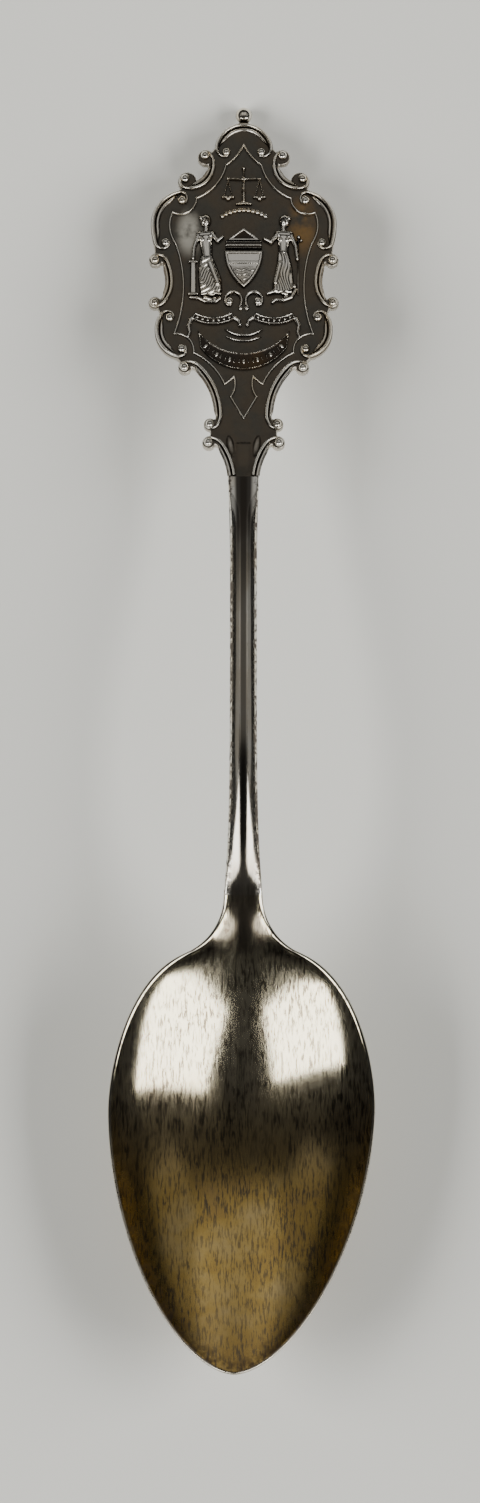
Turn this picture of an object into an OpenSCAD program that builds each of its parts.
// Souvenir teaspoon: a struck bowl, a forged stem and a cartouche finial carrying
// applied scrolls and a heraldic group. It lies on its back, bowl opening upward.
// +X is to the right, +Y runs towards the handle's top end, +Z is up.
// The origin is on the table, under the middle of the spoon.

/* [Overall] */
// Length of the spoon seen from above
spoon_length = 146; // [138:0.5:176]
// Downward slope of the finial towards its top end, in degrees
finial_slope = 10; // [6:0.5:13]

/* [Bowl] */
// Length of the bowl from its tip to the shoulders
bowl_length = 49.5; // [40:0.5:60]
// Width of the bowl at its widest
bowl_width = 30.8; // [25:0.1:37]
// Depth of the hollow below the rim
bowl_depth = 6.4; // [5.2:0.1:7.8]
// Thickness of the bowl's wall
bowl_wall = 1; // [0.8:0.05:1.5]
// Height of the neck above the rim at the tip
neck_rise = 4.5; // [3.5:0.1:5.6]
// Slope of the spoon at the neck, in degrees
neck_slope = 20; // [14:1:26]
// Radius of the hollow curve from the stem's edge to the bowl's shoulder
shoulder_radius = 7.3; // [5:0.1:8.8]

/* [Stem] */
// Width of the stem where it meets the bowl
neck_width = 4.5; // [3.6:0.1:5.4]
// Width of the stem at its narrowest
stem_width = 3.12; // [2.4:0.02:3.8]
// Width of the stem where it meets the finial
stem_top_width = 3.6; // [3:0.05:4.3]
// Height of the stem's rounded front above its edges
stem_crown = 0.8; // [0.5:0.05:1]
// Thickness of the stem at the middle of its length
stem_thickness = 2.1; // [1.7:0.05:2.6]
// Length of the tongue soldered to the back of the bowl
drop_length = 12; // [9:0.5:14]
// Thickness of that tongue
drop_thickness = 1; // [0.7:0.05:1.4]

/* [Finial] */
// Length of the finial plate along its slope
finial_length = 41.6; // [34:0.1:50]
// Thickness of the finial plate
plate_thickness = 1.3; // [1.1:0.05:1.6]
// Length of the half-lap joint between the plate and the stem
lap_length = 3; // [2.4:0.1:4]
// Radius of the ball at the top
ball_radius = 0.95; // [0.75:0.05:1.15]

/* [Ornament] */
// Width of the scroll mouldings
scroll_width = 0.42; // [0.34:0.02:0.5]
// Height of the scroll mouldings above the plate
scroll_height = 0.5; // [0.4:0.05:0.65]
// Radius of the beads that end the scrolls
bead_radius = 0.48; // [0.38:0.02:0.56]
// Width of the plate outside the hollow scrolls
lip_width = 0.6; // [0.45:0.05:0.7]
// Width of the line around the panel
line_width = 0.24; // [0.18:0.02:0.3]
// Height of the line around the panel
line_height = 0.3; // [0.22:0.02:0.4]
// Height of the heraldic group above the plate
relief_height = 0.7; // [0.55:0.05:0.9]
// Width of the ribbon under the heraldic group, at its middle
ribbon_width = 1.9; // [1.6:0.05:2.2]
// Radius of the small beads in the wreath and on the ribbons
grain_radius = 0.25; // [0.2:0.01:0.29]

/* [Hidden] */

polished = [0.86, 0.84, 0.78];
gilded = [0.78, 0.70, 0.50];
oxidised = [0.30, 0.28, 0.25];

// The pattern of the finial is drawn for this length and scaled to finial_length.
drawn_length = 41.6;
pattern_scale = finial_length / drawn_length;

// ---- places along the spoon ----

back_half = spoon_length / 2;
tip_start = 0.12;
tip_y = -back_half - tip_start;
shoulder_y = tip_y + bowl_length;
ball_seat = 0.05;
// The ball ends the spoon and its underside rests on the table.
ball_level = -plate_thickness / 2;
ball_centre_v = finial_length + ball_seat + ball_radius;
finial_y = back_half - ball_radius - ball_centre_v * cos(finial_slope)
    - ball_level * sin(finial_slope);
finial_z = ball_radius + ball_centre_v * sin(finial_slope)
    - ball_level * cos(finial_slope);

// ---- curves ----

function mirrored(points) = [for (p = points) [-p.x, p.y]];
function reversed(list) = [for (i = [len(list) - 1:-1:0]) list[i]];
function bezier(points, t) = len(points) == 1
    ? points[0]
    : bezier([for (i = [0:len(points) - 2]) (1 - t) * points[i] + t * points[i + 1]], t);
function hermite(t, a, slope_a, b, slope_b) =
    a * (2 * t ^ 3 - 3 * t ^ 2 + 1) + slope_a * (t ^ 3 - 2 * t ^ 2 + t)
    + b * (3 * t ^ 2 - 2 * t ^ 3) + slope_b * (t ^ 3 - t ^ 2);

// Points of an arc from a to b that bulges to the left of a-b by the given height.
function bulged(a, b, bulge, steps) =
    let (
        chord = norm(b - a),
        along = (b - a) / chord,
        left = [-along.y, along.x],
        size = max(abs(bulge), chord / 1000),
        radius = (chord ^ 2 / 4 + size ^ 2) / (2 * size),
        half_angle = asin(min(1, chord / 2 / radius)),
        side = bulge < 0 ? -1 : 1
    )
    [for (i = [0:steps - 1])
        let (turn = (2 * i / steps - 1) * half_angle)
        (a + b) / 2 + along * radius * sin(turn)
            + left * side * (radius * cos(turn) - radius + size)];

// Unit normal of a list of points at i, to the left of its direction.
function normal_at(points, i) =
    let (
        d = points[min(i + 1, len(points) - 1)] - points[max(i - 1, 0)],
        size = norm(d)
    )
    [-d.y, d.x] / size;

// Outline of a band of even width along a list of points.
function band(points, width) = concat(
    [for (i = [0:len(points) - 1]) points[i] + normal_at(points, i) * width / 2],
    reversed([for (i = [0:len(points) - 1]) points[i] - normal_at(points, i) * width / 2])
);

// ---- bowl ----

widest = 0.618;
shoulder_angle = 66.9;
half_neck = neck_width / 2;

// Half width of the egg-shaped bowl at a distance from its tip.
function egg(d) =
    let (
        u = d / bowl_length,
        q = u < widest ? (1 - u / widest) ^ 1.8 : ((u - widest) / (1 - widest)) ^ 1.735
    )
    bowl_width / 2 * max(0, 1 - q) ^ (u < widest ? 0.588 : 0.339);

// The shoulder's curve leaves the egg at the width where both lie on one line.
shoulder_reach = half_neck + shoulder_radius * (1 - cos(shoulder_angle));
function egg_place(low, high, n) =
    let (mid = (low + high) / 2)
    n == 0 ? mid
    : egg(mid) > shoulder_reach ? egg_place(mid, high, n - 1) : egg_place(low, mid, n - 1);
egg_end = egg_place(widest * bowl_length, bowl_length, 24);
neck_at = egg_end + shoulder_radius * sin(shoulder_angle);
neck_y = tip_y + neck_at;

function bowl_half_width(d) = d <= egg_end
    ? egg(d)
    : let (rise = min(1, (neck_at - d) / shoulder_radius))
        half_neck + shoulder_radius * (1 - sqrt(max(0, 1 - rise ^ 2)));

// The rim rises from the tip to the neck.
function rim_rise(d) = hermite(d / neck_at, 0, 0, neck_rise, neck_at * tan(neck_slope));

// The hollow's depth along the middle, as a curve guided by evenly spaced controls.
hollow_controls = [0, 0.66, 1.26, 1.58, 0.06, 0];
function hollow(d) = bowl_depth * bezier(hollow_controls, d / neck_at);

// The lowest point of the underside rests on the table.
rim_base = -min([for (i = [0:60]) rim_rise(neck_at * i / 60) - hollow(neck_at * i / 60)]) + bowl_wall;
function rim_height(d) = rim_base + rim_rise(d);
neck_height = rim_height(neck_at);

// q runs from -1 at the left rim to 1 at the right.
function front_height(d, q) =
    rim_height(d) - hollow(d) * (1 - 0.82 * q ^ 2 - 0.18 * q ^ 6);
function wall_height(d, q) = bowl_wall * (1 + 0.3 * min(1, hollow(d) / bowl_depth) * q ^ 2);
function back_height(d, q) = front_height(d, q) - wall_height(d, q);

bowl_rows = 40;
bowl_columns = 22;

// Rows are closer together at the tip, where the outline turns fastest.
function row_place(i) = tip_start + (neck_at - tip_start) * (i / bowl_rows) ^ 1.5;

// Faces of a tube of closed rings, each with n points on its front and n on its back.
// The flat ends are strips of squares between front and back.
function ring_faces(rings, n) =
    let (m = 2 * n, foot = (rings - 1) * m)
    concat(
        [for (j = [0:n - 2], half = [0, 1]) half == 0
            ? [j, j + 1, m - 2 - j]
            : [j, m - 2 - j, m - 1 - j]],
        [for (i = [0:rings - 2], j = [0:m - 1], half = [0, 1]) let (k = (j + 1) % m) half == 0
            ? [i * m + j, (i + 1) * m + j, (i + 1) * m + k]
            : [i * m + j, (i + 1) * m + k, i * m + k]],
        [for (j = [0:n - 2], half = [0, 1]) half == 0
            ? [foot + j, foot + m - 2 - j, foot + j + 1]
            : [foot + j, foot + m - 1 - j, foot + m - 2 - j]]
    );

function bowl_ring(i) =
    let (d = row_place(i), w = bowl_half_width(d))
    concat(
        [for (j = [0:bowl_columns]) let (q = 2 * j / bowl_columns - 1)
            [q * w, tip_y + d, front_height(d, q)]],
        [for (j = [bowl_columns:-1:0]) let (q = 2 * j / bowl_columns - 1)
            [q * w, tip_y + d, back_height(d, q)]]
    );

module bowl() {
    color(gilded)
    polyhedron(
        points = [for (i = [0:bowl_rows]) each bowl_ring(i)],
        faces = ring_faces(bowl_rows + 1, bowl_columns + 1),
        convexity = 4
    );
}

// ---- stem ----

neck_thickness = 2.3;
solder_gap = 0.02;
lap_thickness = plate_thickness / 2;
stem_span = finial_y - neck_y;
narrowest = 0.82;

// s is 0 at the neck and 1 at the finial.
stem_path = [
    [neck_y, neck_height],
    [neck_y + 0.3 * stem_span * cos(neck_slope), neck_height + 0.3 * stem_span * sin(neck_slope)],
    [finial_y - 0.38 * stem_span * cos(finial_slope), finial_z + 0.38 * stem_span * sin(finial_slope)],
    [finial_y, finial_z]
];
function stem_half_width(s) = s < narrowest
    ? stem_width / 2 + (neck_width - stem_width) / 2 * (1 - s / narrowest) ^ 5
    : stem_width / 2 + (stem_top_width - stem_width) / 2 * ((s - narrowest) / (1 - narrowest)) ^ 2;
function stem_depth(s) = s < 0.5
    ? neck_thickness + (stem_thickness - neck_thickness) * 2 * s
    : stem_thickness + (plate_thickness - stem_thickness) * (2 * s - 1) ^ 2;
// The rounded front runs out flat at both ends, where it meets its neighbours.
function stem_round(s) = stem_crown * min(1, 8 * s, 6 * (1 - s));

section_steps = 8;
section_places = [for (j = [0:section_steps]) 2 * j / section_steps - 1];
// One section of the stem: its front from left to right, then its back from right to left.
function stem_section(w, crown, top, depth) = concat(
    [for (q = section_places) [q * w, top + crown * q ^ 2]],
    [for (q = reversed(section_places)) [q * w, depth - 0.25 * (depth - top - crown) * q ^ 4]]
);
// Stands a section up at a place [y, z], leaning by an angle.
function placed(section, place, lean) =
    [for (p = section) [p.x, place[0] - p.y * sin(lean), place[1] - p.y * cos(lean)]];

stem_rows = 26;
function stem_ring(s) = placed(
    stem_section(stem_half_width(s), stem_round(s), 0, stem_depth(s)),
    bezier(stem_path, s), finial_slope * s);

// The tongue follows the back of the bowl and thins out to a round end.
drop_rows = 7;
step_run = 0.05;
function drop_ring(i) =
    let (
        u = i / drop_rows,
        d = neck_at - step_run - u * (drop_length - step_run),
        w = min(half_neck, bowl_half_width(d)) * max(0.04, sqrt(1 - u ^ 2)) * 0.98,
        edge = bowl_half_width(d),
        crown = drop_thickness * (1 - u ^ 2) + 0.05
    )
    [for (p = stem_section(w, 0, 0, crown))
        [p.x, tip_y + d, back_height(d, p.x / edge) - solder_gap - p.y * (1 - 0.5 * (p.x / w) ^ 2)]];

// The other tongue lies in the rebate on the back of the finial plate.
function lap_ring(v) = placed(
    stem_section(stem_top_width / 2, 0, plate_thickness - lap_thickness + solder_gap, plate_thickness),
    [finial_y + v * cos(finial_slope), finial_z - v * sin(finial_slope)], finial_slope);

module stem() {
    rings = concat(
        [for (i = [drop_rows:-1:0]) drop_ring(i)],
        [for (i = [0:stem_rows]) stem_ring(i / stem_rows)],
        [lap_ring(step_run), lap_ring(lap_length - solder_gap)]
    );
    color(polished)
    polyhedron(
        points = [for (r = rings) each r],
        faces = ring_faces(len(rings), section_steps + 1),
        convexity = 6
    );
}

// ---- finial: its own frame has v along the slope and w out of the front face ----

module in_finial() {
    translate([0, finial_y, finial_z]) rotate([-finial_slope, 0, 0]) children();
}
module both_sides() {
    children();
    mirror([1, 0, 0]) children();
}

// A scroll starts at a point and heading, turns to one side throughout, and has legs of
// [radius, angle] towards the top and towards the stem. The last leg of each is its curl.
crown = [[0, 41.3], 0, -1, [], [[3.2, 66], [2.1, 26], [0.9, 115]]];
ear = [[3.63, 35.64], 110, -1, [[2.73, 48], [0.7, 80]], [[2.73, 80], [0.85, 130]]];
shoulder = [[10.45, 29.65], 90, 1, [[3.8, 78], [0.75, 150]], [[8, 17], [0.8, 150]]];
waist = [[8.27, 22.79], 90, -1, [[6, 24], [1.3, 80], [0.55, 80]], [[3.6, 40], [1.6, 45], [0.5, 120]]];
hip = [[9.98, 17.3], 90, 1, [[2.9, 38], [0.75, 140]], [[9, 2], [3.1, 76], [0.75, 140]]];
collar = [[2.62, 7.11], 90, -1, [[8.1, 46], [1.8, 64], [0.55, 90]], [[1.8, 40], [0.95, 62], [0.5, 60]]];
neck = [[1.06, 0.05], 84, -1, [[8.1, 27.5], [1.9, 58.5], [0.55, 100]], []];
border = [crown, ear, shoulder, waist, hip, collar, neck];

// Arcs of a branch as [centre, radius, first angle, signed sweep].
function branch(start, heading, turn, legs, i = 0) = i == len(legs) ? [] :
    let (
        r = legs[i][0] * pattern_scale,
        sweep = turn * legs[i][1],
        first = heading - turn * 90,
        centre = start - r * [cos(first), sin(first)],
        finish = centre + r * [cos(first + sweep), sin(first + sweep)]
    )
    concat([[centre, r, first, sweep]], branch(finish, heading + sweep, turn, legs, i + 1));
function up_branch(s) = branch(s[0] * pattern_scale, s[1], s[2], s[3]);
// The crown's only branch runs on along its heading; the others turn back from it.
function down_branch(s) = len(s[3]) == 0
    ? branch(s[0] * pattern_scale, s[1], s[2], s[4])
    : branch(s[0] * pattern_scale, s[1] + 180, -s[2], s[4]);

function arc_end(arc, r) = arc[0] + r * [cos(arc[2] + arc[3]), sin(arc[2] + arc[3])];
function last(list) = list[len(list) - 1];
function bead_place(arcs) = arc_end(last(arcs), max(0, last(arcs)[1] - bead_radius));
function arc_points(arc, offset) =
    [for (i = [0:6]) let (a = arc[2] + arc[3] * i / 6)
        arc[0] + (arc[1] + offset) * [cos(a), sin(a)]];
// Points of a branch without its curl.
function branch_points(arcs, offset) = len(arcs) < 2 ? [] :
    [for (i = [0:len(arcs) - 2]) each arc_points(arcs[i], offset)];

// Outlines are drawn this much too small, then grown by it with round corners.
corner = 0.06;
// The plate's edge stands outside the scrolls by half a moulding, or by a lip in their hollows.
function edge_offset(s) = s == crown || s[2] > 0
    ? 0.62 * scroll_width - corner
    : -lip_width + corner;
function edge_points(s) = s == neck
    ? reversed(concat([[stem_top_width / 2 - corner, corner]],
        branch_points(up_branch(s), edge_offset(s))))
    : concat(
        reversed(branch_points(up_branch(s), edge_offset(s))),
        branch_points(down_branch(s), edge_offset(s)));

seat_half = 0.62;
half_plate = concat(
    [[0, finial_length - corner], [seat_half, finial_length - corner]],
    [for (s = border) each [for (p = edge_points(s)) if (p.x > seat_half) p]]
);

function curls(s) = concat(
    len(s[3]) == 0 ? [] : [up_branch(s)],
    len(s[4]) == 0 ? [] : [down_branch(s)]
);

// Lobes of the plate under the curls carry the beads.
module lobe(arcs) {
    arc = last(arcs);
    translate(arc[0])
        circle(r = max(arc[1], bead_radius) + scroll_width / 2 - corner, $fn = 40);
}

module finial_plate() {
    color(oxidised)
    in_finial()
    difference() {
        translate([0, 0, -plate_thickness])
            linear_extrude(plate_thickness)
            offset(r = corner, $fn = 20) {
                polygon(concat(half_plate, reversed(mirrored(half_plate))));
                both_sides() for (s = border, arcs = curls(s)) lobe(arcs);
            }
        // rebate for the stem's tongue
        translate([-stem_top_width / 2 - solder_gap, -1, -plate_thickness - 1])
            cube([stem_top_width + 2 * solder_gap, lap_length + 1, lap_thickness + 1]);
    }
}

module top_ball() {
    color(polished)
    in_finial()
    translate([0, finial_length, ball_level]) {
        rotate([-90, 0, 0]) cylinder(h = ball_seat + ball_radius / 2, r = plate_thickness / 2.2, $fn = 40);
        translate([0, ball_seat + ball_radius, 0]) sphere(r = ball_radius, $fn = 48);
    }
}

// ---- border scrolls ----

// A bead is a ball that stands out of the moulding.
module bead(place, r) {
    translate([place.x, place.y, 0])
    intersection() {
        translate([0, 0, r / 3]) sphere(r = r, $fn = 36);
        translate([-r, -r, 0]) cube([2 * r, 2 * r, 2 * r]);
    }
}
module scroll_shape(branches) {
    offset(r = corner, $fn = 20)
    for (arcs = branches) {
        polygon(band([for (arc = arcs) each arc_points(arc, 0)], scroll_width - 2 * corner));
        translate(bead_place(arcs)) circle(r = bead_radius, $fn = 32);
    }
}
module scroll(branches) {
    linear_extrude(scroll_height) scroll_shape(branches);
    for (arcs = branches)
        translate([0, 0, scroll_height / 2]) bead(bead_place(arcs), bead_radius);
}
module scroll_pair(s) {
    color(polished) in_finial() both_sides() scroll(curls(s));
}

// ---- line around the panel ----

// Each entry is a corner and the bulge of the side that follows it.
panel_corners = [
    [[0, 39.05], -0.22], [[2.05, 36.6], -0.65], [[5.45, 32.7], -0.9],
    [[8.2, 31.04], 0.5], [[7.85, 27.36], -0.98], [[8, 16.7], -0.77],
    [[5.75, 14.5], -0.47], [[2.2, 10.8], 0.05], [[1.1, 11.75], -0.3],
    [[1.5, 9.3], 0]
];
panel_foot = [0, 6.8];
half_panel = concat(
    [for (i = [0:len(panel_corners) - 1])
        let (next = i + 1 < len(panel_corners) ? panel_corners[i + 1][0] : panel_foot)
        each bulged(panel_corners[i][0], next, panel_corners[i][1], 7)],
    [panel_foot]
) * pattern_scale;
inner_panel = [for (i = [1:len(half_panel) - 2]) half_panel[i]];
panel_outline = concat(half_panel, reversed(mirrored(inner_panel)));

module panel_frame() {
    color(polished)
    in_finial()
    linear_extrude(line_height)
    difference() {
        offset(r = line_width / 2, $fn = 20) polygon(panel_outline);
        offset(r = -line_width / 2, $fn = 20) polygon(panel_outline);
    }
}

// ---- heraldic group ----

module bar(a, b, width, height) {
    linear_extrude(height) polygon(band([a, b] * pattern_scale, width));
}
module slab(points, height) {
    linear_extrude(height) polygon(points * pattern_scale);
}
// A band of a ring about a centre, between two radii, spread evenly about an angle.
module ring_band(centre, inner, outer, middle, spread, height) {
    translate([centre.x, centre.y, 0] * pattern_scale)
        rotate([0, 0, middle - spread / 2])
        rotate_extrude(angle = spread, $fn = 72)
        translate([inner * pattern_scale, 0])
        square([(outer - inner) * pattern_scale, height]);
}

beam_v = 34.9;
pan_v = 32.8;
pan_u = 1.8;
module balance_crest() {
    thin = 0.2;
    height = 0.7 * relief_height;
    color(polished)
    in_finial() {
        bar([0, 32.1], [0, 35.9], 1.6 * thin, height);
        bar([-0.75, 32.1], [0.75, 32.1], 1.8 * thin, height);
        bar([-pan_u, beam_v], [pan_u, beam_v], thin, height);
        both_sides() {
            bar([pan_u, beam_v], [pan_u - 0.5, pan_v], thin * 0.7, height);
            bar([pan_u, beam_v], [pan_u + 0.5, pan_v], thin * 0.7, height);
            bar([pan_u - 0.65, pan_v], [pan_u + 0.65, pan_v], 1.6 * thin, height);
        }
        bead([0, 36.1] * pattern_scale, 1.1 * grain_radius);
    }
}

wreath_centre = [0, 26.6];
wreath_radius = 4.7;
wreath_spread = 64;
wreath_beads = 13;
module bead_wreath() {
    color(polished)
    in_finial() {
        ring_band(wreath_centre, wreath_radius - 0.13, wreath_radius + 0.13, 90, wreath_spread, 0.2);
        for (i = [0:wreath_beads - 1]) {
            a = 90 + wreath_spread * (i / (wreath_beads - 1) - 0.5);
            bead((wreath_centre + wreath_radius * [cos(a), sin(a)]) * pattern_scale, grain_radius);
        }
    }
}

shield_top = 26.45;
shield_half = 2.25;
shield_tip = 22.05;
shield_side = bulged([shield_half, shield_top], [0, shield_tip], 0.6, 10);
shield_edge = concat(shield_side, [[0, shield_tip]], reversed(mirrored([for (i = [1:9]) shield_side[i]])),
    [[-shield_half, shield_top]]);
rim_share = 0.78;
module shield() {
    middle = [0, (shield_top + shield_tip) / 2 + 0.35];
    color(polished)
    in_finial()
    difference() {
        slab(shield_edge, relief_height);
        // the field is sunk inside a raised rim, and a band is left across it
        translate([0, 0, 0.7 * relief_height])
        difference() {
            slab([for (p = shield_edge) middle + rim_share * (p - middle)], relief_height);
            bar([-shield_half, 25.05], [shield_half, 25.05], 0.32, 2 * relief_height);
        }
    }
}

pediment_base = shield_top + 0.45;
module pediment() {
    color(polished)
    in_finial() {
        slab([[-2.1, pediment_base + 0.7], [0, pediment_base + 2.3], [2.1, pediment_base + 0.7]],
            0.55 * relief_height);
        slab([[-2.1, pediment_base - 0.25], [2.1, pediment_base - 0.25],
            [2.1, pediment_base + 0.7], [-2.1, pediment_base + 0.7]], 0.4 * relief_height);
        bar([-1.5, pediment_base + 0.2], [1.5, pediment_base + 0.2], 0.3, 0.7 * relief_height);
    }
}

// A draped figure that stands beside the shield, drawn for the right-hand side.
robe = [
    [3.6, 28.9], [4.5, 29.15], [5.3, 28.75], [5.75, 27.9], [5.35, 26.6], [4.95, 25.6],
    [5.45, 24.2], [5.6, 22.6], [5.3, 21.2], [3.1, 21.2], [3.3, 22.8], [3.75, 24.4],
    [3.7, 25.6], [3.4, 26.7]
];
head_place = [4.55, 30.05];
head_radius = 0.68;
module supporter() {
    slab(robe, 0.8 * relief_height);
    bar([4.45, 28.6], [4.55, 29.9], 0.6, 0.6 * relief_height);
    bead(head_place * pattern_scale, head_radius);
    // near arm to the shield, near foot, far arm
    bar([3.75, 28.5], [2.62, 27.9], 0.5, 0.7 * relief_height);
    bar([2.75, 21.45], [3.4, 21.6], 0.4, 0.6 * relief_height);
    bar([5.4, 28.2], [6.1, 25.4], 0.42, 0.6 * relief_height);
}
// The right-hand figure holds a staff with a bud at its top.
module right_supporter() {
    color(polished) in_finial() {
        supporter();
        bar([6.2, 21.3], [6.2, 27.2], 0.26, 0.5 * relief_height);
        bead([6.2, 27.3] * pattern_scale, 1.2 * grain_radius);
    }
}
// The left-hand figure rests a hand on a post.
module left_supporter() {
    color(polished) in_finial() mirror([1, 0, 0]) {
        supporter();
        bar([6, 21.3], [6, 25.5], 0.62, 0.5 * relief_height);
        bar([5.6, 25.4], [6.45, 25.4], 0.3, 0.6 * relief_height);
    }
}

// Pair of curls that carry the shield.
under_scroll = [[0.24, 20.7], 90, -1, [[0.95, 200], [0.45, 100]], [[1.6, 30], [0.9, 5]]];
module shield_scrolls() {
    color(polished) in_finial() both_sides() scroll(curls(under_scroll));
}

swag_centre = [3.5, 22.75];
swag_inner = 4.1;
swag_outer = 4.95;
swag_spread = 62;
module motto_ribbons() {
    middle = (swag_inner + swag_outer) / 2;
    color(polished) in_finial() both_sides() {
        ring_band(swag_centre, swag_inner, swag_outer, -90, swag_spread, 0.45 * relief_height);
        for (i = [-3:3])
            translate([0, 0, 0.45 * relief_height])
            bead((swag_centre + middle * [sin(i * 8), -cos(i * 8)]) * pattern_scale, 0.8 * grain_radius);
    }
}

module base_crescents() {
    color(polished) in_finial() {
        ring_band([0, 20.3], 3.62, 3.88, -90, 72, 0.5 * relief_height);
        ring_band([0, 20.3], 4.3, 4.5, -90, 56, 0.35 * relief_height);
    }
}

// The name ribbon hangs between two arcs and widens towards its middle.
name_top = [5.3, 17.15];
name_bottom = [5, 15.1];
name_sag = 2.75;
name_steps = 26;
module name_shape(inset) {
    low_sag = name_bottom.y - (name_top.y - name_sag - ribbon_width);
    offset(delta = -inset)
        polygon(pattern_scale * concat(
            bulged([-name_top.x, name_top.y], name_top, -name_sag, name_steps),
            [name_top],
            bulged(name_bottom, [-name_bottom.x, name_bottom.y], low_sag, name_steps),
            [[-name_bottom.x, name_bottom.y]]
        ));
}
module name_ribbon() {
    floor_height = 0.4 * relief_height;
    edge = 0.2;
    studs = 6;
    stud_centre = [0, 19.7];
    stud_reach = stud_centre.y - (name_top.y - name_sag - ribbon_width / 2);
    color(polished) in_finial() {
        difference() {
            linear_extrude(0.7 * relief_height) name_shape(0);
            translate([0, 0, floor_height]) linear_extrude(relief_height) name_shape(edge);
        }
        for (i = [-studs:studs])
            translate([0, 0, floor_height])
            bead((stud_centre + stud_reach * [sin(i * 7.4), -cos(i * 7.4)]) * pattern_scale,
                abs(i) % 2 == 0 ? 1.2 * grain_radius : 0.8 * grain_radius);
    }
}

bowl();
stem();
finial_plate();
top_ball();
scroll_pair(crown);  // crown_scroll
scroll_pair(ear);  // ear_scrolls
scroll_pair(shoulder);  // shoulder_scrolls
scroll_pair(waist);  // waist_scrolls
scroll_pair(hip);  // hip_scrolls
scroll_pair(collar);  // collar_scrolls
scroll_pair(neck);  // neck_scrolls
panel_frame();
balance_crest();
bead_wreath();
pediment();
shield();
left_supporter();
right_supporter();
shield_scrolls();
motto_ribbons();
base_crescents();
name_ribbon();
